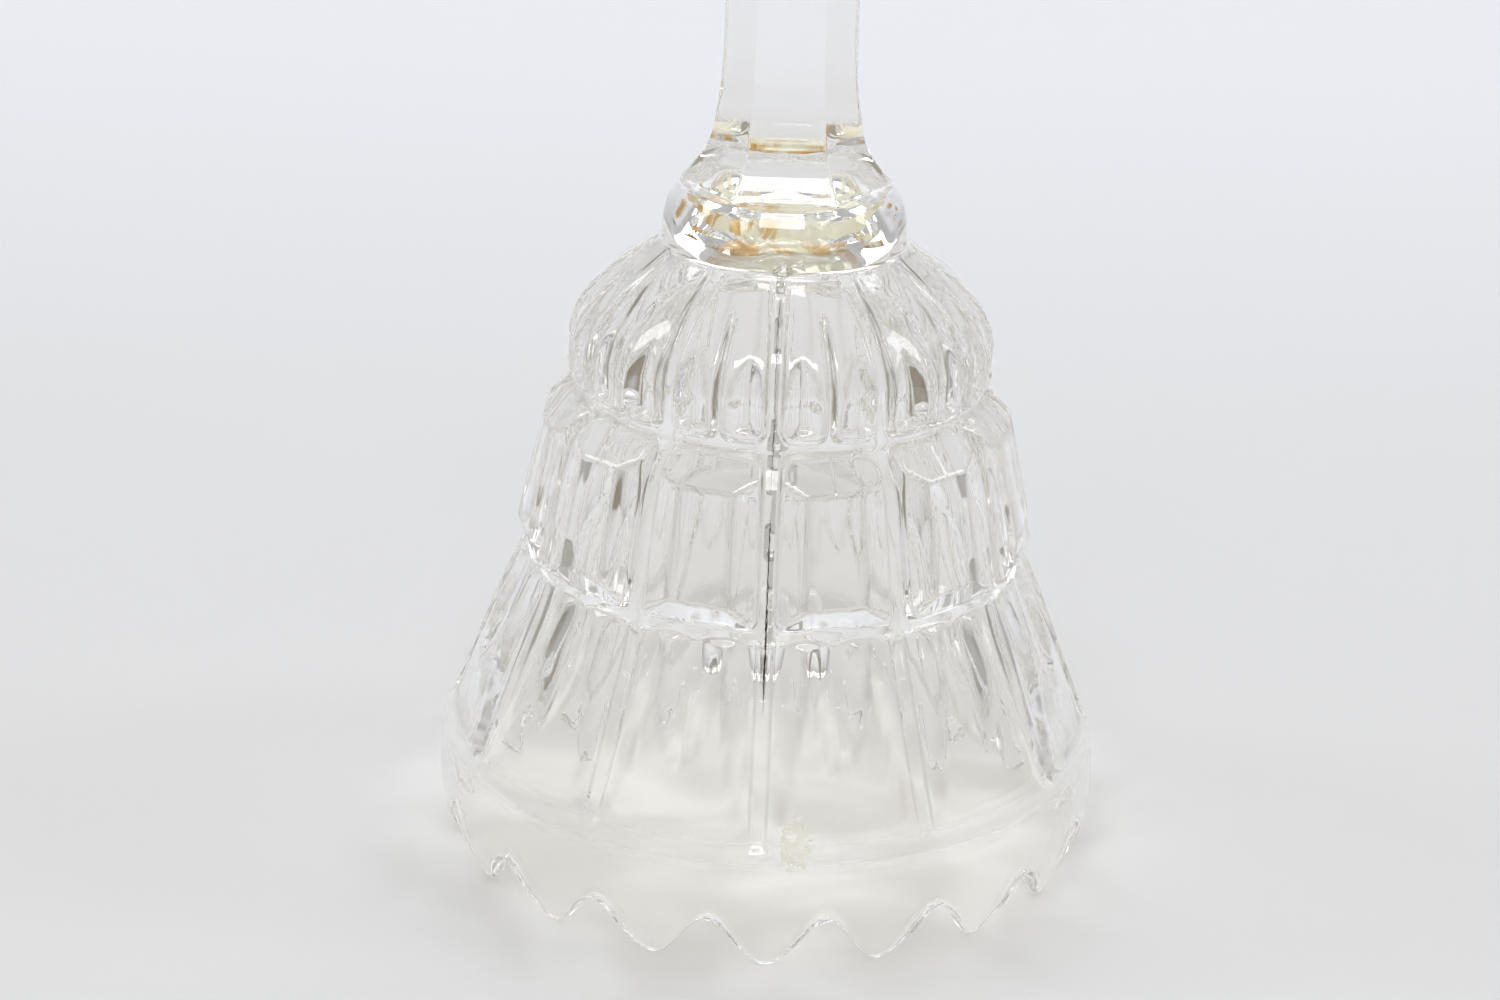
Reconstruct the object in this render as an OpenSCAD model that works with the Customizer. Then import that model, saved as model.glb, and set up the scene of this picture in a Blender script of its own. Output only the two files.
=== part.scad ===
// Table bell in clear pressed glass: hollow three-tier body with a scalloped
// rim, six-sided solid glass handle, and a glass bead clapper on a fine chain.
// Origin: centre of the rim circle, in the plane the scallop tips stand on.
// +Z up, the front of the bell faces -Y, millimetres.

/* [Body] */
// Radius of the circle through the scallop tips
tip_radius = 40; // [38:0.5:42]
// Largest radius of the smooth band above the scallops
band_radius = 42.4; // [41.5:0.1:43.5]
// Height of the shoulder where the lower flutes run out
shoulder_height = 15.6; // [14:0.2:17]
// Number of vertical panels, each between two main grooves
panels = 12; // [8:1:16]
// Width of each main groove between panels
groove_width = 2.2; // [1.6:0.1:3]

/* [Rim] */
// Number of scallops round the rim
scallops = 18; // [12:1:24]
// Height of the notch between two scallops
notch_height = 6.5; // [4:0.1:8]
// Rounding radius at the top of each notch
notch_round = 2.2; // [1.8:0.1:2.6]
// Glass thickness at the foot of the rim
rim_thickness = 1.5; // [1.2:0.1:2]

/* [Tiers] */
// Height of the waist groove between lower and middle tier
waist1_height = 39; // [38:0.2:40]
// Height of the waist groove between middle and upper tier
waist2_height = 60.6; // [60:0.2:61.4]
// Height of the flat table on each middle-tier block, bottom edge
table_low = 43; // [42:0.2:45]
// Height of the flat table on each middle-tier block, top edge
table_high = 56.4; // [54:0.2:57]

/* [Handle] */
// Height of the round collar's top edge, where the handle's flare starts
collar_top = 86.2; // [85.8:0.1:86.6]
// Radius of the collar at its widest
collar_radius = 15.0; // [14.8:0.1:15.2]
// Overall height of the bell with its handle
total_height = 165; // [155:1:175]

/* [Clapper] */
// Wire diameter of the chain, the anchor and the head pin
wire = 0.8; // [0.6:0.05:1]
// Clearance between two linked wires
link_gap = 0.06; // [0.04:0.01:0.1]
// Distance from one link's hinge to the next
pitch = 3.9; // [3.4:0.1:4.4]
// Number of links in the chain
links = 10; // [6:1:10]
// Height of the anchor's bottom wire, where the first link hangs
anchor_height = 76; // [75:0.5:77]
// Radius of the glass bead
bead_radius = 6.5; // [5:0.25:7.5]
// Length of head pin showing between its eye and the bead
pin_reach = 2.04; // [1:0.01:4]

/* [Hidden] */
rho = wire + link_gap;                    // centre-line radius of every bend
link_straight = pitch - rho;              // straight side of a link
link_drop = links*pitch;
clapper_z = anchor_height - link_drop;    // hinge of the clapper
bead_z = clapper_z - rho - pin_reach - bead_radius;
step_az = 360/panels;
fn_round = 96;
press = 0.04;                             // glue stands this far into the glass

// radius, height of the skin at the bottom of the grooves
core_profile = [
  [tip_radius, 0], [tip_radius + 0.7, 1.7], [band_radius - 0.5, 4.6],
  [band_radius, 8.2], [band_radius - 0.2, 11.6], [band_radius - 0.7, 14],
  [41.3, shoulder_height], [40.2, 18], [38.0, 22.4], [34.7, 29.6],
  [31.9, 36], [31.2, waist1_height - 0.6], [31.2, waist1_height + 0.8],
  [30.6, 43.6], [29.5, 50], [28.0, 55.6], [25.6, waist2_height - 1.6],
  [25.0, waist2_height], [25.2, 63], [25.1, 66.6], [24.1, 69.6],
  [21.7, 72.9], [18.6, 75.7], [16.0, 77.7], [collar_radius - 0.1, 79.0],
  [collar_radius, 80.6], [collar_radius - 0.25, 82.5],
  [collar_radius - 0.65, 84], [collar_radius - 1.45, 85.2],
  [collar_radius - 2.3, collar_top], [0, collar_top]];

// radius, height of the smooth dome panels of the upper tier
dome_profile = [
  [20, 62.3], [25.3, 62.3], [25.6, 63.6], [25.6, 66.4], [24.6, 69.4],
  [22.5, 72.6], [19.4, 75.5], [16.8, 77.4], [14.9, 78.7], [12, 78.7]];

// radius, height of the hollow, from the rim to the crown
cavity_profile = [
  [tip_radius - rim_thickness, 0], [39.1, 3.2], [39.5, 6.6],
  [39.3, 10], [38.2, 14.2], [36.6, 18], [34.1, 23.4], [31.1, 29.6],
  [28.5, 34.6], [26.6, 39], [25.4, 43.6], [24.2, 49], [22.6, 54.4],
  [20.9, 59.6], [20.2, 64.2], [19.0, 68.4], [16.8, 72.4], [14.2, 75.6],
  [11.9, 78.2], [9.6, 80.6], [6.9, 82.5], [3.6, 83.7], [0, 84.1]];

// corner radius of the six-sided handle: height, radius
handle_profile = [
  [collar_top - 1.4, 12.6], [collar_top, 12.85], [87.2, 12.1], [88, 11.55],
  [89.4, 10.45], [91.3, 9.5], [92.6, 9.1], [95, 8.75], [97, 8.45],
  [101, 8.2], [112, 8.1], [120, 8.1], [129, 8.35], [138, 8.95],
  [146, 9.75], [153, 10.6], [157.5, 10.9], [161.5, 9.2],
  [total_height - 1, 6.6], [total_height, 5.4]];

function pol(r, az, z) = [r*sin(az), -r*cos(az), z];
function edge_az(r) = step_az/2 - asin(groove_width/2/r);
function radius_at(p, z, i = 0) =
  i >= len(p) - 2 || z <= p[i + 1][1]
    ? p[i][0] + (p[i + 1][0] - p[i][0])*(z - p[i][1])/(p[i + 1][1] - p[i][1])
    : radius_at(p, z, i + 1);
// a quadrilateral as two triangles
function quad(a, b, c, d) = [[a, b, c], [a, c, d]];
// side skin of stacked rings of m points, lower ring first
function skin(m, rows) = [
  for (j = [0:rows - 2]) for (i = [0:m - 1])
    each quad(j*m + i, (j + 1)*m + i, (j + 1)*m + (i + 1)%m, j*m + (i + 1)%m)];

// solid through stacked rings of equal length, capped at both ends
module lofted(rings) {
  m = len(rings[0]);
  n = len(rings);
  polyhedron(
    points = [for (r = rings) each r],
    faces = concat(skin(m, n),
      [[for (i = [0:m - 1]) i]],
      [[for (i = [m - 1:-1:0]) (n - 1)*m + i]]));
}

// raised middle-tier block: flat table with four mitred bevels
module table_block() {
  // height, radius of the outer edge of the bevels
  edge = [[waist1_height + 1.3, 31.9], [table_low, 31.75],
    [table_high, 28.9], [waist2_height - 0.4, 25.55]];
  // half width, distance from the axis and height of the table's ends
  low = [3.75, 32.35, table_low];
  high = [3.35, 29.35, table_high];
  pts = concat(
    [for (e = edge) pol(e[1], -edge_az(e[1]), e[0])],
    [for (e = edge) pol(e[1], edge_az(e[1]), e[0])],
    [for (e = edge) pol(e[1] - 3.2, -edge_az(e[1]) + 1, e[0])],
    [for (e = edge) pol(e[1] - 3.2, edge_az(e[1]) - 1, e[0])],
    [[-low[0], -low[1], low[2]], [low[0], -low[1], low[2]],
     [high[0], -high[1], high[2]], [-high[0], -high[1], high[2]]]);
  polyhedron(points = pts, faces = concat(
    // bevels: foot, right, head, left, with a mitre at each corner
    quad(16, 17, 4, 0), [[17, 5, 4], [16, 0, 1]], quad(17, 18, 6, 5),
    quad(18, 19, 3, 7), [[18, 7, 6], [19, 2, 3]], quad(19, 16, 1, 2),
    [[19, 18, 17, 16]],
    // sides, foot and head of the body, and its back
    [for (i = [0:2]) each quad(i + 1, i, i + 8, i + 9)],
    [for (i = [0:2]) each quad(i + 4, i + 5, i + 13, i + 12)],
    [for (i = [0:2]) each quad(i + 8, i + 12, i + 13, i + 9)],
    quad(0, 4, 12, 8), quad(7, 3, 11, 15)));
}

// lower-tier flute ridge with a triangular facet at its top; s = side
module flute(s) {
  zt = waist1_height - 0.9;
  zv = zt - 3.2;
  zl = shoulder_height + 0.4;
  a0 = 0.35*s;
  am = 7.3*s;
  function out(z) = edge_az(radius_at(core_profile, z))*s;
  rl = radius_at(core_profile, zl);
  rt = radius_at(core_profile, zt);
  pts = [
    pol(rt + 0.55, a0, zt), pol(rt + 0.55, out(zt), zt),
    pol(radius_at(core_profile, zv) + 1.25, am, zv),
    pol(rl - 0.25, a0, zl), pol(rl - 0.25, am, zl - 0.3),
    pol(rl - 0.25, out(zl), zl),
    pol(rt - 2, a0, zt), pol(rt - 2, out(zt), zt),
    pol(rl - 2.2, a0, zl), pol(rl - 2.2, out(zl), zl)];
  f = [[0, 2, 1], [0, 3, 2], [3, 4, 2], [1, 2, 5], [2, 4, 5],
    [0, 1, 7], [0, 7, 6], [0, 6, 8], [0, 8, 3], [1, 5, 9], [1, 9, 7],
    [3, 8, 4], [4, 8, 9], [4, 9, 5], [6, 7, 9], [6, 9, 8]];
  polyhedron(points = pts,
    faces = s < 0 ? f : [for (t = f) [t[2], t[1], t[0]]]);
}

// upper-tier petal: pointed top, rounded foot, central arris
module petal() {
  // height, half width in degrees, ridge stand-off from the dome
  st = [[62.45, 2.9, 0.3], [63.1, 4.6, 0.7], [64.4, 5.5, 0.9],
    [66.6, 5.4, 1.0], [68.8, 4.7, 0.95], [70.8, 3.4, 0.7], [72.9, 0.7, 0.1]];
  lofted([for (q = st)
    let (r = radius_at([for (k = [1:len(dome_profile) - 2]) dome_profile[k]], q[0]))
    [pol(r - 1.6, -q[1]*0.7, q[0]), pol(r - 0.25, -q[1], q[0]),
     pol(r + q[2]*0.55, -q[1]*0.86, q[0]), pol(r + q[2], 0, q[0]),
     pol(r + q[2]*0.55, q[1]*0.86, q[0]), pol(r - 0.25, q[1], q[0]),
     pol(r - 1.6, q[1]*0.7, q[0])]]);
}

// space below the wavy rim for one notch, as seen from outside
module notch_shape() {
  c = notch_height - notch_round;
  tx = notch_round*sin(53);
  tz = c + notch_round*cos(53);
  x0 = tip_radius*sin(180/scallops) - 0.95;
  union() {
    translate([0, c]) circle(r = notch_round, $fn = 48);
    polygon([[-tx, tz], [tx, tz], [x0 - 1.95, 2.1], [x0 - 0.95, 0.75],
      [x0, 0], [x0, -2], [-x0, -2], [-x0, 0], [0.95 - x0, 0.75],
      [1.95 - x0, 2.1]]);
  }
}

module bell_shell() {
  difference() {
    union() {
      rotate_extrude($fn = fn_round)
        polygon(concat([[0, 0]], core_profile));
      difference() {
        rotate_extrude($fn = fn_round) polygon(dome_profile);
        for (i = [0:panels/2 - 1]) rotate([0, 0, i*step_az])
          translate([-groove_width/2, -30, 60])
            cube([groove_width, 60, 17]);
      }
      for (i = [0:panels - 1]) rotate([0, 0, (i + 0.5)*step_az]) {
        table_block();
        for (s = [-1, 1]) {
          flute(s);
          rotate([0, 0, s*6.55]) petal();
        }
      }
    }
    rotate_extrude($fn = fn_round)
      polygon(concat([[0, -1], [tip_radius - rim_thickness, -1]], cavity_profile));
    for (i = [0:scallops - 1]) rotate([0, 0, (i + 0.5)*360/scallops])
      translate([0, -30, 0]) rotate([90, 0, 0])
        linear_extrude(height = 20) notch_shape();
  }
}

// solid six-sided handle with a concave flare onto the collar
module handle() {
  lofted([for (q = handle_profile)
    [for (k = [0:5]) pol(q[1], 30 + 60*k, q[0])]]);
}

module bell_glass() {
  color([0.86, 0.88, 0.88, 0.45]) union() {
    bell_shell();
    handle();
  }
}

// cured adhesive pooled in the crown, holding the anchor's feet
module crown_glue() {
  n = len(cavity_profile);
  top = [for (i = [n - 4:n - 1])
    [cavity_profile[i][0] + (i < n - 1 ? press : 0), cavity_profile[i][1] + press]];
  color([0.93, 0.88, 0.62, 0.85]) rotate_extrude($fn = fn_round)
    polygon(concat(
      [[0, 80.7], [4.6, 80.6], [7.4, 80.3], [9.3, 79.9],
       [radius_at(cavity_profile, 79.95) + press, 79.95]], top));
}

// half ring of wire: bend opens upwards
module bend(r) {
  rotate([90, 0, 0]) rotate([0, 0, 180])
    rotate_extrude(angle = 180, $fn = 48) translate([r, 0])
      circle(d = wire, $fn = 24);
}

// wire staple: round bottom, two legs, feet turned out inside the glue
module anchor_eye() {
  zc = anchor_height + rho;
  zf = 81.6;
  color([0.72, 0.72, 0.74]) union() {
    translate([0, 0, zc]) bend(rho);
    for (s = [-1, 1]) {
      translate([s*rho, 0, zc]) cylinder(d = wire, h = zf - zc, $fn = 24);
      translate([s*rho, 0, zf]) sphere(d = wire, $fn = 24);
      translate([s*rho, 0, zf]) rotate([0, s*90, 0])
        cylinder(d = wire, h = 1.9, $fn = 24);
    }
  }
}

// oval chain link, hanging from its top bend's centre, in the XZ plane
module oval_link() {
  union() {
    rotate([0, 180, 0]) bend(rho);
    translate([0, 0, -link_straight]) bend(rho);
    for (s = [-1, 1])
      translate([s*rho, 0, -link_straight])
        cylinder(d = wire, h = link_straight, $fn = 24);
  }
}

// link k counted from the top; odd links lie across the even ones
module chain_link(k) {
  color([0.75, 0.75, 0.77])
    translate([0, 0, anchor_height - (k - 1)*pitch])
      rotate([0, 0, k%2 == 1 ? 90 : 0]) oval_link();
}
module chain_link_01() { chain_link(1); }
module chain_link_02() { chain_link(2); }
module chain_link_03() { chain_link(3); }
module chain_link_04() { chain_link(4); }
module chain_link_05() { chain_link(5); }
module chain_link_06() { chain_link(6); }
module chain_link_07() { chain_link(7); }
module chain_link_08() { chain_link(8); }
module chain_link_09() { chain_link(9); }
module chain_link_10() { chain_link(10); }

// head pin: closed eye, shank through the bead, flat head under it
module head_pin() {
  zb = bead_z - bead_radius + 0.28;
  color([0.75, 0.75, 0.77]) union() {
    translate([0, 0, clapper_z]) rotate([0, 0, 90]) rotate([90, 0, 0])
      rotate_extrude($fn = 48) translate([rho, 0]) circle(d = wire, $fn = 24);
    translate([0, 0, zb - 0.3])
      cylinder(d = wire, h = clapper_z - rho - zb + 0.3, $fn = 24);
    translate([0, 0, zb - 0.62]) cylinder(r = 1.1, h = 0.6, $fn = 32);
  }
}

// round glass bead, drilled through and ground flat round the lower hole
module clapper_bead() {
  color([0.88, 0.90, 0.90, 0.45]) difference() {
    translate([0, 0, bead_z]) sphere(r = bead_radius, $fn = 64);
    translate([0, 0, bead_z - bead_radius - 1])
      cylinder(d = wire + 0.12, h = 2*bead_radius + 2, $fn = 24);
    translate([0, 0, bead_z - bead_radius - 1.0])
      cylinder(r = 4, h = 1.28, $fn = 48);
  }
}

bell_glass();
crown_glue();
anchor_eye();
chain_link_01();
chain_link_02();
chain_link_03();
chain_link_04();
chain_link_05();
chain_link_06();
chain_link_07();
chain_link_08();
chain_link_09();
chain_link_10();
head_pin();
clapper_bead();
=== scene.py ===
import bpy
import math
import numpy as np
from mathutils import Matrix, Vector


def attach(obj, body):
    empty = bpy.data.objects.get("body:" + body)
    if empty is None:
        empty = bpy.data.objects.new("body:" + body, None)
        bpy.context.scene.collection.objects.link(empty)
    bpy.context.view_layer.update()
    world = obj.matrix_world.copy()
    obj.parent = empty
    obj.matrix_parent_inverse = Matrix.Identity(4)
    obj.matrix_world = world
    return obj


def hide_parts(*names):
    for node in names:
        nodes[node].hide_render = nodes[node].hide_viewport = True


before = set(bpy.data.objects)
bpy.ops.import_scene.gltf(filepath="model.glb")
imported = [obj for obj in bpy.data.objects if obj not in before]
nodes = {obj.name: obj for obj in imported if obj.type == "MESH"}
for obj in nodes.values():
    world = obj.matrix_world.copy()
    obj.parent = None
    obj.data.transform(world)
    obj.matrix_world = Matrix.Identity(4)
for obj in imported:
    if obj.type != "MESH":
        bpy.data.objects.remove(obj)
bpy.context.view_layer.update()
scene = bpy.context.scene
MM = 0.001

# ------------------------------------------------------------------ camera
# millimetres and degrees, in the bell's frame; the bell's front groove is
# turned one degree away from the lens
TURN = 1.0
CAM = dict(D=373.0, Z=193.0, X=-0.1, pitch=21.75, yaw=-0.47, roll=1.85, f=3170.0)


def make_camera():
    r = math.radians
    cy, sy = math.cos(r(CAM["yaw"])), math.sin(r(CAM["yaw"]))
    cp, sp = math.cos(r(CAM["pitch"])), math.sin(r(CAM["pitch"]))
    fwd = Vector((sy * cp, cy * cp, -sp))
    right = Vector((cy, -sy, 0.0))
    up = right.cross(fwd)
    cr, sr = math.cos(r(CAM["roll"])), math.sin(r(CAM["roll"]))
    r2 = cr * right + sr * up
    u2 = -sr * right + cr * up
    m = Matrix((r2, u2, -fwd)).transposed().to_4x4()
    m.translation = Vector((CAM["X"], -CAM["D"], CAM["Z"])) * MM
    m = Matrix.Rotation(r(TURN), 4, "Z") @ m
    data = bpy.data.cameras.new("camera")
    data.sensor_width = 36.0
    data.lens = CAM["f"] / 1500.0 * 36.0
    data.clip_start, data.clip_end = 0.01, 20.0
    cam = bpy.data.objects.new("camera", data)
    scene.collection.objects.link(cam)
    cam.matrix_world = m
    scene.camera = cam


make_camera()


# ------------------------------------------------------------ small helpers
def sstep(a, b, x):
    t = np.clip((x - a) / (b - a), 0.0, 1.0)
    return t * t * (3 - 2 * t)


def smin(a, b, k):
    h = np.clip(0.5 + 0.5 * (b - a) / k, 0.0, 1.0)
    return b * (1 - h) + a * h - k * h * (1 - h)


def smax(a, b, k):
    return -smin(-a, -b, k)


def steps(*parts):
    """Heights from (start, step) pairs up to each next start."""
    out = []
    for (z0, d), (z1, _) in zip(parts[:-1], parts[1:]):
        n = max(1, int(round((z1 - z0) / d)))
        out += [z0 + (z1 - z0) * i / n for i in range(n)]
    return out + [parts[-1][0]]


def table_of(*pairs):
    a = np.array(pairs, float)
    return lambda z: np.interp(z, a[:, 0], a[:, 1])


def hermite_of(*pairs):
    """Smooth curve through (z, value) pairs, without overshoot."""
    a = np.array(pairs, float)
    x, y = a[:, 0], a[:, 1]
    d = np.diff(y) / np.diff(x)
    m = np.zeros(len(x))
    m[0], m[-1] = d[0], d[-1]
    for i in range(1, len(x) - 1):
        if d[i - 1] * d[i] > 0:
            w1 = 2 * (x[i + 1] - x[i]) + (x[i] - x[i - 1])
            w2 = (x[i + 1] - x[i]) + 2 * (x[i] - x[i - 1])
            m[i] = (w1 + w2) / (w1 / d[i - 1] + w2 / d[i])

    def f(q):
        q = np.clip(np.asarray(q, float), x[0], x[-1])
        i = np.clip(np.searchsorted(x, q, side="right") - 1, 0, len(x) - 2)
        h = x[i + 1] - x[i]
        t = (q - x[i]) / h
        return ((1 + 2 * t) * (1 - t) ** 2 * y[i] + t * (1 - t) ** 2 * h * m[i]
                + t * t * (3 - 2 * t) * y[i + 1] + t * t * (t - 1) * h * m[i + 1])
    return f


def link(ob):
    scene.collection.objects.link(ob)
    return ob


def mesh_object(name, verts, faces, flat=()):
    me = bpy.data.meshes.new(name)
    me.from_pydata([tuple(v) for v in verts], [], faces)
    me.update()
    smooth = np.ones(len(me.polygons), bool)
    for i in flat:
        smooth[i] = False
    me.polygons.foreach_set("use_smooth", smooth)
    return link(bpy.data.objects.new(name, me))


# ------------------------------------------------------- the bell's glass
# radius of the groove bottoms, of the panels and of the hollow, by height
core = hermite_of((0, 40), (1.7, 40.7), (4.6, 41.9), (8.2, 42.38), (11.6, 42.2),
                  (13.6, 41.95), (14.6, 41.72), (15.3, 41.3), (15.9, 40.75),
                  (16.5, 40.3), (17.2, 39.9), (18, 39.5), (22.4, 37.6), (29.6, 34.6), (36, 31.9),
                  (38.4, 31.2), (39.8, 31.2),
                  (43.6, 30.6), (50, 29.5), (55.6, 28.0), (59, 25.6),
                  (60.6, 25.0), (63, 25.2), (66.6, 25.1), (69.6, 24.1),
                  (72.9, 21.7), (75.7, 18.6), (77.7, 16.0), (78.8, 14.95),
                  (79.6, 15.0), (81.0, 14.98), (82.6, 14.75), (84.0, 14.35),
                  (85.2, 13.55), (86.2, 12.9))
lower = hermite_of((0, 40), (1.7, 40.7), (4.6, 41.9), (8.2, 42.38),
                   (11.6, 42.2), (13.6, 41.95), (14.6, 41.76), (15.2, 41.5),
                   (15.7, 41.2), (16.2, 40.95), (16.8, 40.68), (18, 40.15), (22.4, 38.45), (29, 35.95),
                   (35, 33.6), (38.3, 32.5))
upper = hermite_of((61, 25.4), (61.7, 26.0), (62.4, 26.3), (64, 26.5),
                   (66.4, 26.45), (69.4, 25.4), (72.6, 23.0), (75.5, 19.8),
                   (77.4, 17.0), (78.3, 15.75), (78.9, 15.05), (79.6, 15.05),
                   (81.0, 15.0), (82.6, 14.75), (84.0, 14.35), (85.2, 13.55),
                   (86.2, 12.9))
base = table_of((0, 40), (8.2, 42.4), (15.6, 41.3), (29, 35.9), (38.3, 32.3),
                (43, 32.0), (56.4, 29.2), (60.2, 25.5), (61.4, 25.6),
                (66.4, 26.4), (72.6, 23), (78.9, 15), (83.5, 14.5), (86.2, 12.9))
hollow = hermite_of((0, 38.5), (3.2, 39.1), (6.6, 39.5), (10, 39.25),
                    (12.4, 38.8), (14.2, 38.2), (16, 37.5), (18, 36.65),
                    (20, 35.75), (23.4, 34.1), (29.6, 31.1),
                    (34.6, 28.5), (39, 26.6), (43.6, 25.4), (49, 24.2),
                    (54.4, 22.6), (59.6, 20.9), (64.2, 20.2), (68.4, 19.0),
                    (72.4, 16.8), (75.6, 14.2), (78.2, 11.9), (80.6, 9.6),
                    (82.5, 6.9), (83.7, 3.6), (84.1, 0.0))

GROOVE_X = [0, .35, .65, .85, 1.0, 1.15, 1.35, 1.65]     # mm from the groove
MIDDLE_T = [.14, .3, .42, .5, .58, .7, .86]
VALLEY_X = [.95, .65, .45, .3, .15, 0]                   # mm from the centre
PANELS = 12
HALF = len(GROOVE_X) + len(MIDDLE_T) + len(VALLEY_X) - 1
COLS = PANELS * 2 * HALF
RIM_TIPS, RIM_TURN, RIM_RISE = 18, 2.0, 6.3
LIP = 0.72
HANDLE_TURN = 0.8


def column_angles(z):
    """Azimuths of the columns at a height, in degrees, panel by panel."""
    r = float(base(z))
    g = [math.degrees(x / r) for x in GROOVE_X]
    v = [15 - math.degrees(x / r) for x in VALLEY_X]
    half = g + [g[-1] + t * (v[0] - g[-1]) for t in MIDDLE_T] + v
    one = half + [30 - a for a in half[-2:0:-1]]
    az = np.concatenate([np.array(one) + 30 * k for k in range(PANELS)])
    even = np.arange(COLS) * 360.0 / COLS
    w = float(sstep(10.0, 15.0, z))
    return az * w + even * (1 - w)


def rim_wave(az):
    """Height of the rim's edge: rounded tips with rounder, higher notches."""
    c = (1 - np.cos(np.radians((az - RIM_TURN) * RIM_TIPS))) / 2
    w = RIM_RISE * c ** 1.06
    # pressed by hand: no two scallops are quite alike
    return w * (1 + 0.05 * np.sin(np.radians(az * 3 + 40))) + 0.12 * (
        1 + np.sin(np.radians(az * 2 + 200)))


def pad(side, foot, corner):
    """Distance inside a pad's outline with rounded corners, in mm."""
    a, b = np.minimum(side, corner), np.minimum(foot, corner)
    return np.minimum(np.minimum(side, foot), corner - np.hypot(corner - a, corner - b))


def near(d, width=0.42):
    """1 where a distance in mm is nought, fading to 0 at the width."""
    return np.clip(1 - np.abs(d) / width, 0, 1)


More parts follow.
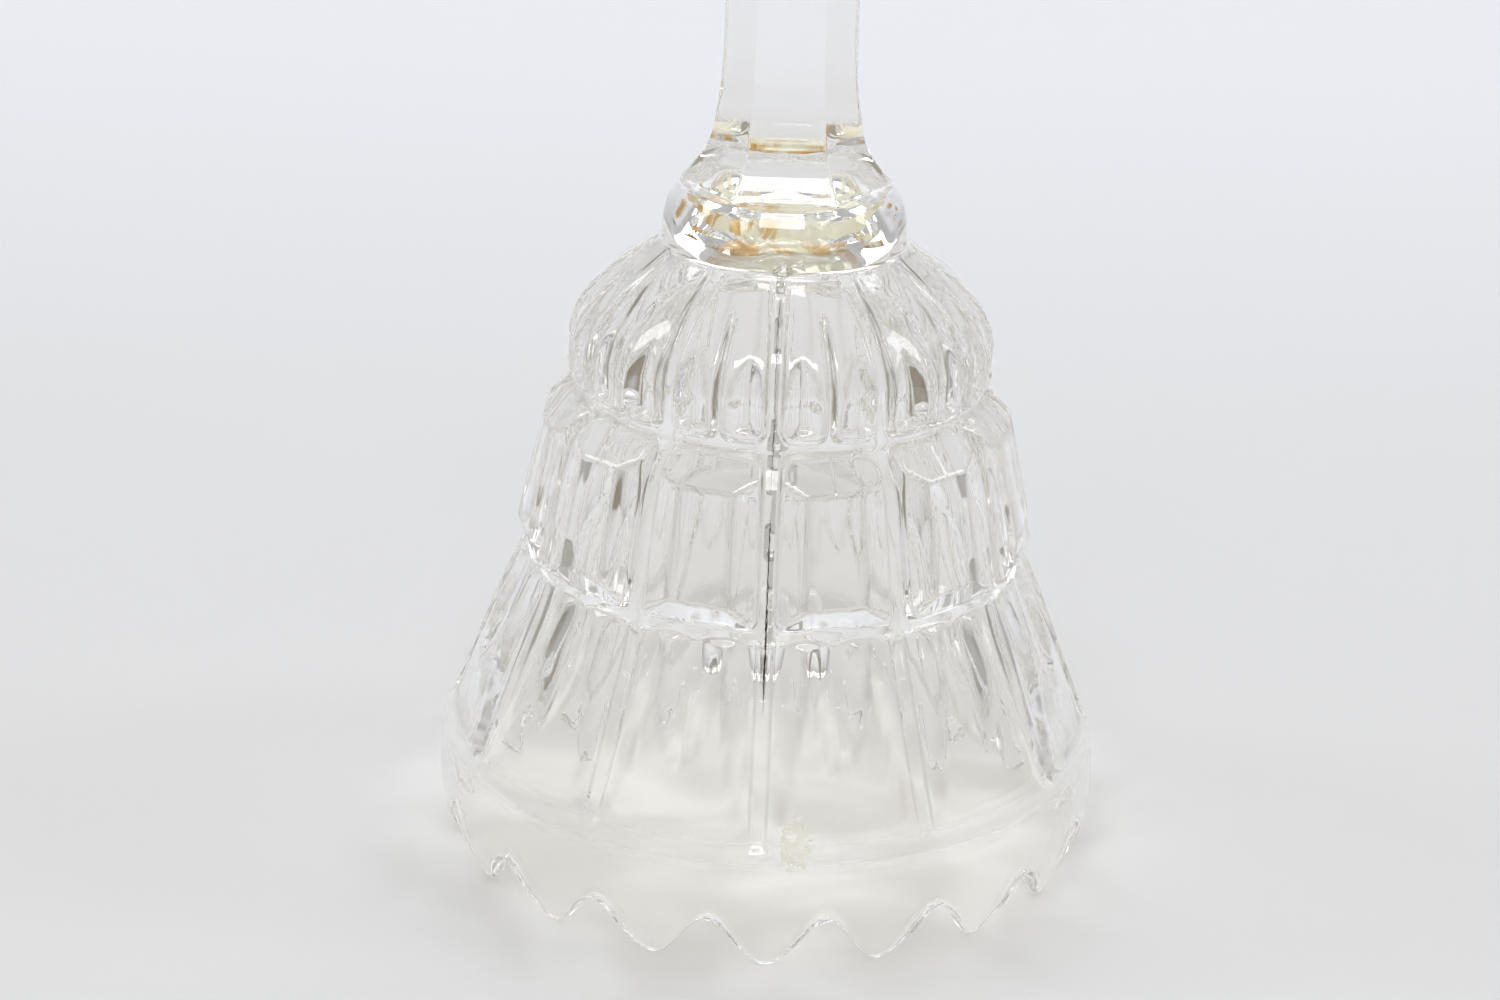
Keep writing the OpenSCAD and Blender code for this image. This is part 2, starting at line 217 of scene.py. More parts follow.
def panel_radius(az, z):
    """Outer radius at azimuths az (degrees) and one height z, and how near
    each point is to an edge between two facets."""
    a = np.mod(az, 30.0)
    side = np.where(a > 15, -1.0, 1.0)
    g = np.minimum(a, 30 - a)                       # degrees from the groove
    k = np.floor(az / 30.0).astype(int) % PANELS
    rc, r0 = float(core(z)), float(base(z))
    xg = r0 * np.radians(g)                         # mm from the groove
    xc = r0 * np.radians(np.abs(15 - a))            # mm from the panel's centre
    wide = r0 * math.radians(15)
    # a little unlikeness between panels and halves
    wob = 0.12 * np.sin(k * 2.3 + 1.0) + 0.06 * np.sin(k * 5.1 + side)
    if z < 15.2:
        return np.full(az.shape, float(lower(z))), np.zeros(az.shape)
    if z < 39.6:
        # lower tier: a swelling panel, cut beside the grooves down to the
        # shoulder and at its centre half-way, with a triangle over each arris
        wg = float(table_of((15.6, 0.1), (19, 1.25), (23, 2.2), (28, 3.0),
                            (31, 3.55), (35, 3.95), (38.3, 4.05))(z)) + wob
        wc = float(table_of((23.6, -0.6), (24.6, 0.0), (26, 1.25), (28, 2.2),
                            (31, 3.05), (35, 3.45), (38.3, 3.5))(z)) + wob
        dg = np.maximum(xg - 1.05, 0)
        dc = np.maximum(xc - 0.22, 0)
        tg = np.clip(dg / np.maximum(wg, 0.05), 0, 1)
        tc = np.clip(dc / np.maximum(wc, 0.05), 0, 1)
        cg = np.maximum(wg, 0) * (0.38 * (1 - tg) + 0.36 * tg * (1 - tg))
        cc = np.maximum(wc, 0) * (0.38 * (1 - tc) + 0.36 * tc * (1 - tc))
        if z > 30:
            cut = smax(cg, cc, 0.05)
        else:
            cut = np.maximum(cg, cc)
        rp = float(lower(z)) - cut
        line = 0.6 * np.maximum(near(dg - wg, 0.8), near(dc - wc, 0.8) * float(wc.max() > 0.2))
        line = line * np.where(cut > 0.35, 0.0, 1.0) if z > 34 else line
        line = np.maximum(line, near(cg - cc, 0.16) * (cut > 0.1) * (z > 27))
        line = np.maximum(line, near(xg - 1.05, 0.3) * 0.8)
        if z > 32:
            tri = 33.42 - 0.48 * (z - 34.8 - wob * 2) + 0 * rp
            line = np.maximum(line * (rp < tri + 0.1), near(rp - tri, 0.16))
            rp = smin(rp, tri, 0.1)
        w = 1 - float(sstep(37.95, 38.7, z))
        vd = float(sstep(24.0, 27.0, z))            # line of the centre valley
        fade = float(sstep(15.4, 16.4, z))
        edge = 1 - (1 - sstep(0.55, 1.25, xg)) * fade
        edge = edge * (1 - 0.35 * vd * (1 - sstep(0.1, 0.42, xc)))
        rp = rc + (rp - rc) * w
        return rc + (rp - rc) * edge, line * w * float(sstep(16.5, 18.5, z))
    if z < 61.0:
        # middle tier: flat table with four mitred bevels
        ca = np.cos(np.radians(a - 15))
        sa = np.abs(np.sin(np.radians(a - 15)))
        yt = 32.35 - 0.2239 * (z - 43)
        xe = 3.72 - 0.4 * (z - 43) / 13.4 + wob * 0.6
        table = yt / ca
        sidef = (yt + 0.42 * xe) / (ca + 0.42 * sa)
        # side bevels are ground hollow, with rounded ends
        across = np.clip((r0 * sa - xe) / 3.2, 0, 1)
        along = float(sstep(40.6, 44.5, z) * (1 - sstep(52.5, 57.5, z)))
        sidef = sidef - 0.17 * along * 4 * across * (1 - across)
        foot = (32.35 + 0.34 * (z - 43.0)) / ca
        head = (29.35 - 0.98 * (z - 56.4 + wob)) / ca
        rp = smin(smin(table, sidef, 0.09), smin(foot, head, 0.09), 0.1)
        d = pad(xg - 0.95, np.minimum(z - 39.95, 60.3 - z) + 0 * xg, 1.5)
        four = np.sort(np.array([table + 0 * rp, sidef + 0 * rp, foot + 0 * rp,
                                 head + 0 * rp]), axis=0)
        line = near(four[1] - four[0], 0.24) * (d > 0.3)
        line = np.maximum(line, near(d - 0.1, 0.4) * 0.7)
        return rc + (rp - rc) * sstep(-0.1, 0.5, d), line
    # upper tier: two scooped teardrops to a panel, pointed above and round
    # below, each with a crease down its middle and a facet at its foot
    half = float(table_of((62.0, 2.3), (64, 2.42), (66, 2.3), (68, 1.85),
                          (69.6, 1.25), (71, 0.5), (71.7, -0.2), (90, -9))(z))
    xs = r0 * np.radians(np.abs(g - 7.3)) / 1.0
    inside = np.maximum(half + wob - xs, 0)
    scoop = 0.46 * inside + 0.24 * inside * np.clip(xs / 2.4, 0, 1)
    low = (z - 62.5 - 0.14 * xs * xs) * 1.05
    scoop = smin(scoop, np.maximum(low, 0), 0.08) if z < 66.5 else scoop
    rp = float(upper(z)) - np.maximum(scoop, 0)
    foot = z - 61.25 + 0 * xg
    d = pad(np.minimum(xg - 0.8, np.where(z < 76, xc - 0.12, 9)), foot, 1.7)
    m = sstep(-0.05, 0.5, d)
    if z > 70:
        mg = sstep(-0.05, 0.5, xg - 0.8)
        m = m + (mg - m) * float(sstep(73.0, 75.8, z))
    m = 1 - (1 - m) * (1 - float(sstep(77.5, 78.8, z)))
    rc2 = min(rc, float(upper(z)) - 0.02) if z > 77 else rc
    line = near(half + wob - xs, 0.5) * (z < 71.5) * (m > 0.6)
    line = np.maximum(line, near(xs, 0.3) * (half > 0.4) * 0.7)
    line = np.maximum(line, near(d - 0.1, 0.4) * 0.7 * (z < 75))
    return rc2 + (rp - rc2) * m, line


def ripple(az, z, seed):
    """Slight unevenness of pressed, fire-polished glass, in mm."""
    a = np.radians(az)
    return (0.5 * np.sin(5 * a + 0.31 * z + seed) * np.sin(0.23 * z + 2 * a + seed)
            + 0.35 * np.sin(11 * a - 0.17 * z + 1.7 * seed)
            + 0.25 * np.sin(17 * a + 0.52 * z + 0.6 * seed))


def build_bell():
    zs = steps((1.0, 1.5), (13.0, 0.5), (14.0, 0.3), (17.0, 0.5), (18.0, 1.0),
               (31.0, 0.45), (37.6, 0.24), (43.4, 1.1), (55.4, 0.45),
               (58.0, 0.27), (64.6, 0.55), (77.2, 0.35), (80.0, 0.6),
               (84.0, 0.37), (86.2, 1))
    verts, faces, flat = [], [], []
    rows, kinds, lines = [], [], []

    def add_row(pts, kind=0.0, line=None):
        start = len(verts)
        verts.extend(pts)
        kinds.extend([kind] * len(pts))
        lines.extend([0.0] * len(pts) if line is None else list(line))
        rows.append((start, len(pts)))
        return len(rows) - 1

    def ring(az, r, z):
        a = np.radians(az)
        return list(zip(r * np.sin(a), -r * np.cos(a), z + 0 * a))

    # ---- outside, from just above the rim's edge to the collar's top
    outer = []
    for z in zs:
        az = column_angles(z)
        if z < 15:
            # rows follow the scallops
            e = rim_wave(az) + LIP
            zz = e + np.clip((z - 1.0) / 14.0, 0, 1) * (15.0 - e)
            r, line = lower(zz) + 0.0, None
        else:
            zz = np.full(az.shape, z)
            r, line = panel_radius(az, z)
        amp = 0.035 * float(1 - sstep(78, 84, z))
        r = np.minimum(r + amp * ripple(az, z, 0.7), 42.38)
        outer.append(add_row(ring(az, r, zz), 0.0, line))
    # ---- rounded lip, from outside to inside
    az = column_angles(zs[0])
    e = rim_wave(az)
    ro, ri = lower(e + LIP), hollow(e + LIP)
    ro = ro + 0.035 * ripple(az, zs[0], 0.7)
    mid, half = (ro + ri) / 2, (ro - ri) / 2
    lips = []
    for t in (20, 42, 64, 90, 116, 138, 160):
        c, s = math.cos(math.radians(t)), math.sin(math.radians(t))
        lips.append(add_row(ring(az, mid + half * c * (1 - 0.1 * s), e + LIP - LIP * s),
                            max(0.0, (t - 90) / 90)))
    # ---- inside, fine columns to 15 mm, then every fourth
    inner = []
    for z in steps((1.0, 1.6), (14.0, 1)):
        t = (z - 1.0) / 14.0
        zz = e + LIP + t * (15.0 - e - LIP)
        inner.append(add_row(ring(az, hollow(zz) + 0.03 * ripple(az, zz, 3.1), zz), 1.0))
    azc = az[::4]
    coarse = []
    for z in steps((16.2, 0.8), (17.0, 1.3), (78.0, 0.8), (82.0, 0.45), (83.6, 0.2),
                   (84.02, 1)):
        amp = 0.05 * float(1 - sstep(76, 84, z))
        coarse.append(add_row(ring(azc, hollow(z) + amp * ripple(azc, z, 3.1),
                                   np.full(azc.shape, z)), 1.0))
    top_in = len(verts)
    verts.append((0.0, 0.0, 84.1))
    kinds.append(1.0)
    lines.append(0.0)

    def strip(a, b, flip=False):
        (s0, n), (s1, _) = rows[a], rows[b]
        for i in range(n):
            j = (i + 1) % n
            q = (s0 + i, s0 + j, s1 + j, s1 + i)
            faces.append(q[::-1] if flip else q)

    for a, b in zip(outer[:-1], outer[1:]):
        strip(a, b)
    chain = [outer[0]] + lips + inner
    for a, b in zip(chain[:-1], chain[1:]):
        strip(a, b, True)
    # fine to coarse
    (sf, nf), (sc, nc) = rows[inner[-1]], rows[coarse[0]]
    for i in range(nc):
        j = (i + 1) % nc
        ring_f = [sf + (4 * i + q) % nf for q in range(5)]
        faces.append(tuple([sc + i, sc + j] + ring_f[::-1]))
    for a, b in zip(coarse[:-1], coarse[1:]):
        strip(a, b, True)
    (sc, nc) = rows[coarse[-1]]
    for i in range(nc):
        faces.append((sc + (i + 1) % nc, sc + i, top_in))

    # ---- handle: six flats with softly rounded corners
    corner = hermite_of((86.2, 12.9), (87.2, 12.15), (88, 11.6), (89.4, 10.5),
                        (91.3, 9.55), (92.6, 9.15), (95, 8.8), (97, 8.5),
                        (101, 8.2), (106, 8.12), (112, 8.1), (120, 8.1),
                        (129, 8.35), (138, 8.95), (146, 9.75), (153, 10.6),
                        (157.5, 10.88), (161.5, 9.2), (164, 6.6), (164.75, 5.5))
    flat_t = [0, 5, 10, 15, 19, 22.4, 25.2, 27.3, 28.7, 29.5]
    one = flat_t + [30] + [60 - t for t in flat_t[:0:-1]]
    azh = np.concatenate([np.array(one) + 60 * k for k in range(6)]) + HANDLE_TURN
    assert len(azh) == COLS // 4

    def hex_ring(z, grow=1.0):
        ap = float(corner(z)) * grow * math.cos(math.radians(30))
        a = np.mod(azh - HANDLE_TURN + 30, 60) - 30
        r = smin(ap / np.cos(np.radians(a)), ap / np.cos(np.radians(60 - np.abs(a))),
                 0.3)
        return r + 0.02 * ripple(azh, z, 1.9)

    handle = []
    for z in steps((86.32, 0.25), (87.4, 0.5), (92.6, 0.9), (98, 2.0), (110, 3.0),
                   (146, 1.6), (155, 0.8), (163.6, 0.35), (164.75, 1)):
        handle.append(add_row(ring(azh, hex_ring(z), z)))
    (so, no_), (sh, nh) = rows[outer[-1]], rows[handle[0]]
    # collar's top ledge: outer columns sorted to the handle's columns
    az_out = column_angles(zs[-1])
    cuts = [int(np.argmin(np.abs(az_out - a))) for a in azh]
    for i in range(nh):
        j = (i + 1) % nh
        c0, c1 = cuts[i], cuts[j] if j else cuts[0] + no_
        ring_o = [so + q % no_ for q in range(c0, c1 + 1)]
        flat.append(len(faces))
        faces.append(tuple(ring_o + [sh + j, sh + i]))
    for a, b in zip(handle[:-1], handle[1:]):
        strip(a, b)
    z = 164.75
    for grow, dz in ((0.93, 0.12), (0.82, 0.2), (0.45, 0.24)):
        handle.append(add_row(ring(azh, hex_ring(z, grow), z + dz)))
        strip(handle[-2], handle[-1])
    (st, nt) = rows[handle[-1]]
    tip = len(verts)
    verts.append((0.0, 0.0, 165.0))
    kinds.append(0.0)
    lines.append(0.0)
    for i in range(nt):
        faces.append((st + i, st + (i + 1) % nt, tip))
    v = np.array(verts) * MM
    v[:, 2] = np.maximum(v[:, 2], 0.0)
    ob = mesh_object("bell_glass_body", v, faces, flat)
    att = ob.data.attributes.new("inside", "FLOAT", "POINT")
    att.data.foreach_set("value", np.array(kinds, np.float32))
    # nearness to the edges between facets, which the glass material uses to paint shade along them
    att = ob.data.attributes.new("facet_edge", "FLOAT", "POINT")
    att.data.foreach_set("value", np.array(lines, np.float32))
    print("bell triangles", sum(len(f) - 2 for f in faces), "rows", len(zs))
    return ob


# ------------------------------------------------------------- glue pool
def build_glue():
    """Cured adhesive in the crown: an uneven pool with a raised bead round
    the staple's feet and shrink rings, filling the hollow above it."""
    n = 96
    az = np.arange(n) * 360.0 / n
    a = np.radians(az)
    verts, faces, rows = [], [], []

    def add(r, z):
        rows.append(len(verts))
        verts.extend(zip(r * np.sin(a), -r * np.cos(a), z + 0 * a))

    edge = 80.05 + 0.22 * np.sin(3 * a + 0.6) + 0.14 * np.sin(7 * a + 2.0)
    # underside, from the middle out
    for t in np.linspace(0.06, 0.97, 20):
        r = t * (hollow(edge) + 0.02)
        dome = 0.6 * (1 - t * t)
        ringy = 0.1 * np.cos(t * 11.0) * math.exp(-((t - 0.45) / 0.35) ** 2)
        lobes = 0.18 * math.exp(-((t - 0.62) / 0.16) ** 2) * np.cos(2 * a + 0.3)
        z = edge + dome + ringy + lobes
        if t < 0.30:
            z = z - 0.25 * math.cos(t / 0.30 * math.pi / 2)
        add(r, z)
    # against the glass, up to the crown
    top = 84.1
    for t in np.linspace(0.0, 0.96, 16):
        z = edge + (top - 0.06 - edge) * (t ** 0.8)
        add(np.maximum(hollow(z) - 0.015, 0.05), z)
    cb = len(verts)
    verts.append((0, 0, 80.5))
    ct = len(verts)
    verts.append((0, 0, 84.06))
    for s0, s1 in zip(rows[:-1], rows[1:]):
        for i in range(n):
            j = (i + 1) % n
            faces.append((s0 + i, s0 + j, s1 + j, s1 + i))
    for i in range(n):
        j = (i + 1) % n
        faces.append((rows[0] + j, rows[0] + i, cb))
        faces.append((rows[-1] + i, rows[-1] + j, ct))
    return mesh_object("glue_pool", np.array(verts) * MM, faces)


# ------------------------------------------------------------- materials
def new_material(name):
    m = bpy.data.materials.new(name)
    m.use_nodes = True
    m.node_tree.nodes.clear()
    return m, m.node_tree


class Tree:
    """Short hand for building a node tree."""

    def __init__(self, nt):
        self.nt = nt

    def node(self, kind, **props):
        n = self.nt.nodes.new(kind)
        for k, v in props.items():
            setattr(n, k, v)
        return n

    def wire(self, a, b):
        self.nt.links.new(a, b)

    def put(self, socket, v):
        if isinstance(v, bpy.types.NodeSocket):
            self.wire(v, socket)
        else:
            socket.default_value = v

    def math(self, op, a, b=0.0, c=None, clamp=False):
        n = self.node("ShaderNodeMath", operation=op, use_clamp=clamp)
        self.put(n.inputs[0], a)
        self.put(n.inputs[1], b)
        if c is not None:
            self.put(n.inputs[2], c)
        return n.outputs[0]

    def step(self, v, a, b, smooth=True):
        n = self.node("ShaderNodeMapRange", clamp=True)
        n.interpolation_type = "SMOOTHSTEP" if smooth else "LINEAR"
        self.put(n.inputs["Value"], v)
        n.inputs["From Min"].default_value = a
        n.inputs["From Max"].default_value = b
        return n.outputs["Result"]

    def noise(self, vec, scale, detail=2.0, rough=0.5, dist=0.0):
        n = self.node("ShaderNodeTexNoise")
        self.wire(vec, n.inputs["Vector"])
        n.inputs["Scale"].default_value = scale
        n.inputs["Detail"].default_value = detail
        n.inputs["Roughness"].default_value = rough
        n.inputs["Distortion"].default_value = dist
        return n.outputs["Fac"]

    def scaled(self, vec, s):
        n = self.node("ShaderNodeMapping")
        self.wire(vec, n.inputs["Vector"])
        n.inputs["Scale"].default_value = s
        return n.outputs["Vector"]

    def mix(self, fac, a, b):
        n = self.node("ShaderNodeMix", data_type="RGBA")
        self.put(n.inputs[0], fac)
        self.put(n.inputs[6], a)
        self.put(n.inputs[7], b)
        return n.outputs[2]

    def shader_mix(self, fac, a, b):
        n = self.node("ShaderNodeMixShader")
        self.put(n.inputs[0], fac)
        self.wire(a, n.inputs[1])
        self.wire(b, n.inputs[2])
        return n.outputs[0]

    def output(self, surface, disp=None):
        n = self.node("ShaderNodeOutputMaterial")
        self.wire(surface, n.inputs["Surface"])
        return n


def object_xyz(t):
    tc = t.node("ShaderNodeTexCoord")
    sep = t.node("ShaderNodeSeparateXYZ")
    t.wire(tc.outputs["Object"], sep.inputs[0])
    return tc.outputs["Object"], sep.outputs[0], sep.outputs[1], sep.outputs[2]


def lamp_glass(t, principled, tint):
    """Glass that lets the lamps' light through to what it stands on."""
    lp = t.node("ShaderNodeLightPath")
    tr = t.node("ShaderNodeBsdfTransparent")
    tr.inputs["Color"].default_value = (*tint, 1)
    return t.shader_mix(lp.outputs["Is Shadow Ray"], principled, tr.outputs[0])


INSIDE_ROUGH = 0.035


def glass_material():
    m, nt = new_material("pressed_glass")
    t = Tree(nt)
    obj, x, y, z = object_xyz(t)
    p = t.node("ShaderNodeBsdfPrincipled")
    p.inputs["IOR"].default_value = 1.52
    p.inputs["Transmission Weight"].default_value = 1.0
    # faint bloom where fingers and wiping left it, fire-polished elsewhere
    bloom = t.step(t.noise(obj, 95.0, 3.0, 0.55, 0.6), 0.52, 0.78)
    # the plunger leaves the inside duller than the fire-polished outside
    inside = t.node("ShaderNodeAttribute", attribute_name="inside").outputs["Fac"]
    rough = t.math("MULTIPLY_ADD", bloom, 0.03, 0.004)
    t.wire(t.math("MULTIPLY_ADD", inside, INSIDE_ROUGH, rough), p.inputs["Roughness"])
    # painted highlight: a milky band at the shoulder, where the transmission is lowered so the pale
    # base colour shows, standing in for its soft bright line
    painted_shoulder_highlight = t.math("MULTIPLY", t.step(z, 0.0128, 0.0152), t.step(z, 0.0186, 0.0158))
    painted_shoulder_highlight = t.math("MULTIPLY", painted_shoulder_highlight, t.math("SUBTRACT", 1.0, inside))
    t.wire(t.math("MULTIPLY_ADD", painted_shoulder_highlight, -0.34, 1.0), p.inputs["Transmission Weight"])
    # ripples left by the mould
    bump = t.node("ShaderNodeBump")
    bump.inputs["Strength"].default_value = 0.12
    bump.inputs["Distance"].default_value = 0.00012
    t.wire(t.noise(t.scaled(obj, (1, 1, 0.45)), 330.0, 2.0, 0.5), bump.inputs["Height"])
    t.wire(bump.outputs[0], p.inputs["Normal"])
    # painted shade along the mould's seam: a near-black, opaque, broken line down the front groove,
    # standing in for the dark line the seam shows in the glass
    wob = t.noise(t.scaled(obj, (0, 0, 1)), 420.0, 2.0, 0.6)
    xs = t.math("ADD", x, t.math("MULTIPLY_ADD", wob, -0.0006, 0.0003))
    width_n = t.noise(t.scaled(obj, (0, 0, 1)), 900.0, 1.0, 0.5)
    low = t.step(z, 0.056, 0.037)
    width = t.math("MULTIPLY", t.math("MULTIPLY_ADD", low, 0.00007, 0.000026),
                   t.math("MULTIPLY_ADD", width_n, 2.4, -0.45))
    near = t.math("LESS_THAN", t.math("ABSOLUTE", xs), width)
    span = t.math("MULTIPLY", t.step(z, 0.0300, 0.0345), t.step(z, 0.0765, 0.0745))
    gap = t.math("GREATER_THAN", t.noise(t.scaled(obj, (0, 0, 1)), 230.0, 2.0, 0.5),
                 t.math("MULTIPLY_ADD", t.step(z, 0.054, 0.046), -0.3, 0.53))
    gap = t.math("MAXIMUM", gap, t.math("MULTIPLY", t.step(z, 0.0600, 0.0615), 1.0))
    front = t.math("LESS_THAN", y, 0.0)
    seam_shade_mask = t.math("MULTIPLY", t.math("MULTIPLY", near, span), t.math("MULTIPLY", front, gap))
    # painted shade: the base colour darkens towards the edges between facets, standing in for the dark
    # lines the glass shows along them
    edge = t.node("ShaderNodeAttribute", attribute_name="facet_edge").outputs["Fac"]
    clear = t.mix(t.math("MULTIPLY", edge, 0.9), (0.990, 0.984, 0.966, 1), (0.66, 0.63, 0.575, 1))
    col = t.mix(seam_shade_mask, clear, (0.012, 0.011, 0.01, 1))
    t.wire(col, p.inputs["Base Color"])
    # near-black, opaque shader for the painted shade of the seam
    painted_seam_shade = t.node("ShaderNodeBsdfPrincipled")
    painted_seam_shade.inputs["Base Color"].default_value = (0.012, 0.011, 0.01, 1)
    painted_seam_shade.inputs["Roughness"].default_value = 0.55
    g = lamp_glass(t, p.outputs[0], (0.74, 0.735, 0.72))
    g = t.shader_mix(seam_shade_mask, g, painted_seam_shade.outputs[0])
    # flaky yellowish residue dried on the shoulder, right of the front groove
    ex = t.math("POWER", t.math("MULTIPLY_ADD", x, 1 / 0.0026, -0.0046 / 0.0026), 2.0)
    ez = t.math("POWER", t.math("MULTIPLY_ADD", z, 1 / 0.0042, -0.0168 / 0.0042), 2.0)
    spot = t.step(t.math("ADD", ex, ez), 1.3, 0.2)
    flake = t.math("GREATER_THAN", t.math("MULTIPLY", spot, t.noise(obj, 1100.0, 4.0, 0.7)), 0.43)
    flake = t.math("MULTIPLY", flake, t.math("MULTIPLY", front, t.math("SUBTRACT", 1.0, inside)))
    crust = t.node("ShaderNodeBsdfPrincipled")
    crust.inputs["Roughness"].default_value = 0.7
    crust.inputs["Base Color"].default_value = (0.88, 0.86, 0.74, 1)
    t.output(t.shader_mix(t.math("MULTIPLY", flake, 0.6), g, crust.outputs[0]))
    return m


def glue_material():
    m, nt = new_material("yellowed_glue")
    t = Tree(nt)
    obj, x, y, z = object_xyz(t)
    p = t.node("ShaderNodeBsdfPrincipled")
    p.inputs["IOR"].default_value = 1.47
    # amber tide marks towards the rim of the pool
    rad = t.math("SQRT", t.math("ADD", t.math("POWER", x, 2.0), t.math("POWER", y, 2.0)))
    n1 = t.noise(obj, 260.0, 4.0, 0.6, 0.8)
    tide = t.math("MULTIPLY", t.step(n1, 0.40, 0.50), t.step(rad, 0.0088, 0.0096))
    left = t.step(x, 0.0025, -0.002)
    blot = t.math("MULTIPLY", t.step(n1, 0.52, 0.59), t.step(rad, 0.0052, 0.0080))
    mark = t.math("MAXIMUM", tide, t.math("MULTIPLY", blot, left))
    # darker rings drawn centred on the staple's feet and on the bubble in the middle
    side = t.math("SUBTRACT", t.math("ABSOLUTE", x), 0.0071)
    foot = t.math("SQRT", t.math("ADD", t.math("POWER", side, 2.0), t.math("POWER", y, 2.0)))
    ring = t.math("LESS_THAN", t.math("ABSOLUTE", t.math("SUBTRACT", foot, 0.0012)), 0.00022)
    bubble = t.step(rad, 0.0031, 0.0027)
    ring = t.math("MAXIMUM", ring, t.math("LESS_THAN", t.math("ABSOLUTE",
                  t.math("SUBTRACT", rad, 0.0030)), 0.00016))
    col = t.mix(mark, (0.935, 0.925, 0.79, 1), (0.66, 0.40, 0.12, 1))
    col = t.mix(t.math("MULTIPLY", ring, 0.55), col, (0.62, 0.58, 0.36, 1))
    col = t.mix(bubble, col, (0.97, 0.97, 0.94, 1))
    t.wire(t.math("MULTIPLY_ADD", bubble, 0.4, 0.58), p.inputs["Transmission Weight"])
    t.wire(col, p.inputs["Base Color"])
    t.wire(t.math("MULTIPLY_ADD", n1, 0.08, 0.01), p.inputs["Roughness"])
    bump = t.node("ShaderNodeBump")
    bump.inputs["Strength"].default_value = 0.2
    bump.inputs["Distance"].default_value = 0.0002
    t.wire(t.noise(obj, 260.0, 2.0, 0.5), bump.inputs["Height"])
    t.wire(bump.outputs[0], p.inputs["Normal"])
    t.output(lamp_glass(t, p.outputs[0], (0.95, 0.93, 0.82)))
    return m


def bead_material():
    m, nt = new_material("bead_clear_glass")
    t = Tree(nt)
    obj, x, y, z = object_xyz(t)
    p = t.node("ShaderNodeBsdfPrincipled")
    p.inputs["Base Color"].default_value = (0.99, 0.99, 0.988, 1)
    p.inputs["IOR"].default_value = 1.5
    p.inputs["Transmission Weight"].default_value = 1.0
    n1 = t.noise(obj, 300.0, 3.0, 0.6)
    t.wire(t.math("MULTIPLY_ADD", n1, 0.03, 0.0), p.inputs["Roughness"])
    bump = t.node("ShaderNodeBump")
    bump.inputs["Strength"].default_value = 0.15
    bump.inputs["Distance"].default_value = 0.0001
    t.wire(t.noise(obj, 700.0, 2.0, 0.5), bump.inputs["Height"])
    t.wire(bump.outputs[0], p.inputs["Normal"])
    t.output(lamp_glass(t, p.outputs[0], (0.97, 0.97, 0.97)))
    return m


def wire_material():
    m, nt = new_material("plated_wire")
    t = Tree(nt)
    obj, x, y, z = object_xyz(t)
    p = t.node("ShaderNodeBsdfPrincipled")
    p.inputs["Metallic"].default_value = 1.0
    n1 = t.noise(obj, 900.0, 3.0, 0.6)
    t.wire(t.mix(n1, (0.86, 0.86, 0.87, 1), (0.70, 0.69, 0.67, 1)), p.inputs["Base Color"])
    t.wire(t.math("MULTIPLY_ADD", n1, 0.22, 0.12), p.inputs["Roughness"])
    bump = t.node("ShaderNodeBump")
    bump.inputs["Strength"].default_value = 0.2
    bump.inputs["Distance"].default_value = 0.00005
    t.wire(t.noise(obj, 3000.0, 2.0, 0.5), bump.inputs["Height"])
    t.wire(bump.outputs[0], p.inputs["Normal"])
    t.output(p.outputs[0])
    return m


def floor_material():
    m, nt = new_material("pale_paper")
    t = Tree(nt)
    obj, x, y, z = object_xyz(t)
    p = t.node("ShaderNodeBsdfPrincipled")
    p.inputs["Roughness"].default_value = 0.75
    p.inputs["Specular IOR Level"].default_value = 0.25
    soft = t.noise(obj, 9.0, 4.0, 0.55)
    col = t.mix(soft, (0.755, 0.755, 0.757, 1), (0.785, 0.784, 0.785, 1))
    # painted light: the paper's colour turns cooler and brighter towards the back, standing in for the
    # back light falling there
    col = t.mix(t.step(y, 0.0, 0.46), col, (0.875, 0.885, 0.925, 1))
    # light and shade thrown down by the glass: soft patches close to the bell
    rad = t.math("SQRT", t.math("ADD", t.math("POWER", x, 2.0), t.math("POWER", y, 2.0)))
    near = t.step(rad, 0.060, 0.036)
    patch = t.step(t.noise(obj, 55.0, 1.5, 0.45, 0.6), 0.30, 0.70)
    front = t.mix(patch, (0.56, 0.55, 0.525, 1), (0.77, 0.766, 0.757, 1))
    back = t.mix(patch, (0.71, 0.70, 0.68, 1), (0.95, 0.945, 0.94, 1))
    shaded = t.mix(t.step(y, -0.034, 0.026), front, back)
    col = t.mix(t.math("MULTIPLY", near, 0.7), col, shaded)
    t.wire(col, p.inputs["Base Color"])
    t.output(p.outputs[0])
    return m


def paint(ob, mat):
    if ob.data.materials:
        for i in range(len(ob.data.materials)):
            ob.data.materials[i] = mat
    else:
        ob.data.materials.append(mat)


glass = glass_material()
bell = build_bell()
paint(bell, glass)
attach(bell, "bell")
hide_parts("bell_glass")

glue = build_glue()
paint(glue, glue_material())
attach(glue, "bell")
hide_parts("crown_glue")

wire_mat = wire_material()
for name, ob in nodes.items():
    if name in ("anchor_eye", "head_pin") or name.startswith("chain_link"):
        paint(ob, wire_mat)
paint(nodes["clapper_bead"], bead_material())


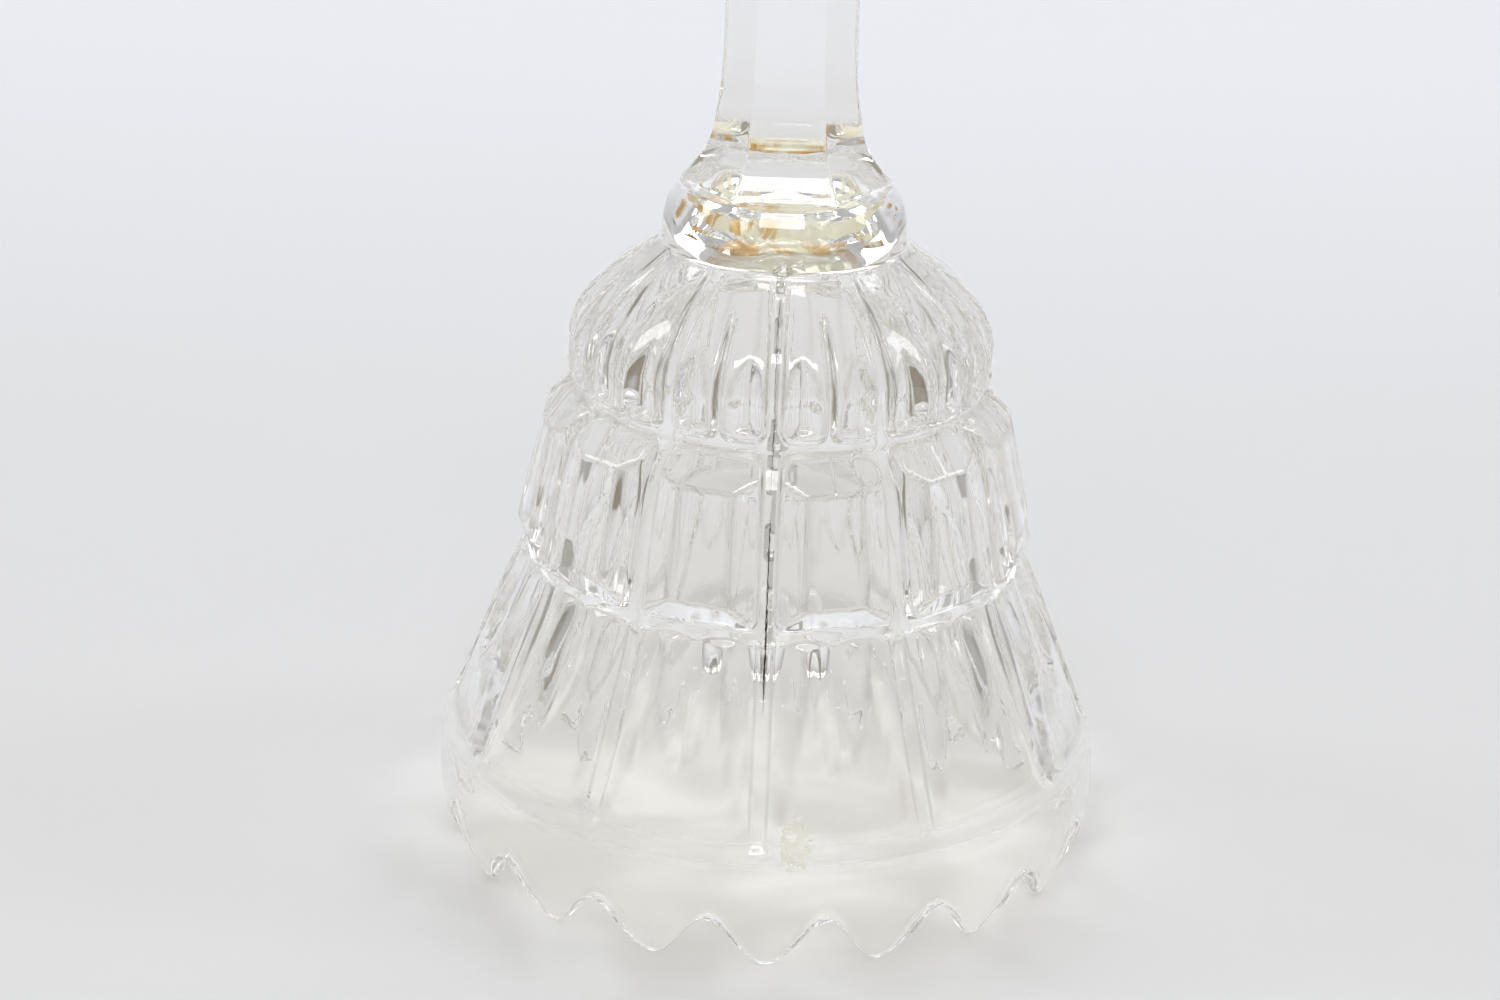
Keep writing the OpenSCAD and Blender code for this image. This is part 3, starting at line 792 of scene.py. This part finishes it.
# ------------------------------------------------------------ floor, light
def build_stage():
    verts, faces = [], []
    w, nx = 3.6, 20
    prof = [(-1.8, 0.0), (-1.3, 0.0)] + [(-0.9 + 0.25 * i, 0.0) for i in range(11)]
    prof += [(1.6 + 0.9 * math.sin(a), 0.9 - 0.9 * math.cos(a))
             for a in np.radians(np.arange(0, 91, 10))]
    prof += [(2.5, 2.4)]
    for px, pz in prof:
        for i in range(nx + 1):
            verts.append((-w / 2 + w * i / nx, px, pz - 0.00001))
    for j in range(len(prof) - 1):
        for i in range(nx):
            q = j * (nx + 1) + i
            faces.append((q, q + 1, q + nx + 2, q + nx + 1))
    ob = mesh_object("backdrop", verts, faces)
    paint(ob, floor_material())
    return ob


def area(name, loc, target, size, power, size_y=None, colour=(1, 1, 1)):
    d = bpy.data.lights.new(name, "AREA")
    d.energy = power
    d.color = colour
    d.shape = "RECTANGLE"
    d.size = size
    d.size_y = size_y or size
    ob = link(bpy.data.objects.new(name, d))
    ob.location = loc
    ob.rotation_mode = "QUATERNION"
    ob.rotation_quaternion = (Vector(target) - Vector(loc)).to_track_quat("-Z", "Y")
    ob.visible_camera = False
    return ob


build_stage()
area("key_softbox", (-0.03, -0.75, 1.05), (0, 0, 0.05), 0.80, 5.0, 0.22)
area("left_softbox", (-1.1, 0.1, 0.8), (0, 0, 0.05), 0.18, 2.0, 0.7)
area("right_softbox", (1.1, 0.05, 0.8), (0, 0, 0.05), 0.18, 2.0, 0.7)
area("back_softbox", (0.0, 1.7, 1.3), (0, 1.25, 0.0), 2.2, 16.0, 0.9, (0.93, 0.96, 1.0))

world = bpy.data.worlds.new("studio")
scene.world = world
world.use_nodes = True
wt = Tree(world.node_tree)
world.node_tree.nodes.clear()
tc = wt.node("ShaderNodeTexCoord")
sep = wt.node("ShaderNodeSeparateXYZ")
wt.wire(tc.outputs["Generated"], sep.inputs[0])
up = wt.step(sep.outputs[2], 0.15, 0.62)
behind = wt.step(sep.outputs[1], 0.2, 0.75)
shade = wt.math("MAXIMUM", up, behind)
sky = wt.mix(shade, (0.66, 0.595, 0.49, 1), (1.08, 1.085, 1.10, 1))
# seen directly, the room behind the paper is out of the light's way and pale
seen = wt.node("ShaderNodeLightPath").outputs["Is Camera Ray"]
sky = wt.mix(seen, sky, (1.50, 1.51, 1.54, 1))
bg = wt.node("ShaderNodeBackground")
wt.wire(sky, bg.inputs["Color"])
bg.inputs["Strength"].default_value = 0.445
wo = wt.node("ShaderNodeOutputWorld")
wt.wire(bg.outputs[0], wo.inputs["Surface"])

scene.view_settings.view_transform = "Standard"
scene.view_settings.look = "None"
scene.view_settings.exposure = 0.0
scene.cycles.max_bounces = 40
scene.cycles.transmission_bounces = 40
scene.cycles.glossy_bounces = 40
scene.cycles.diffuse_bounces = 4
scene.cycles.transparent_max_bounces = 16
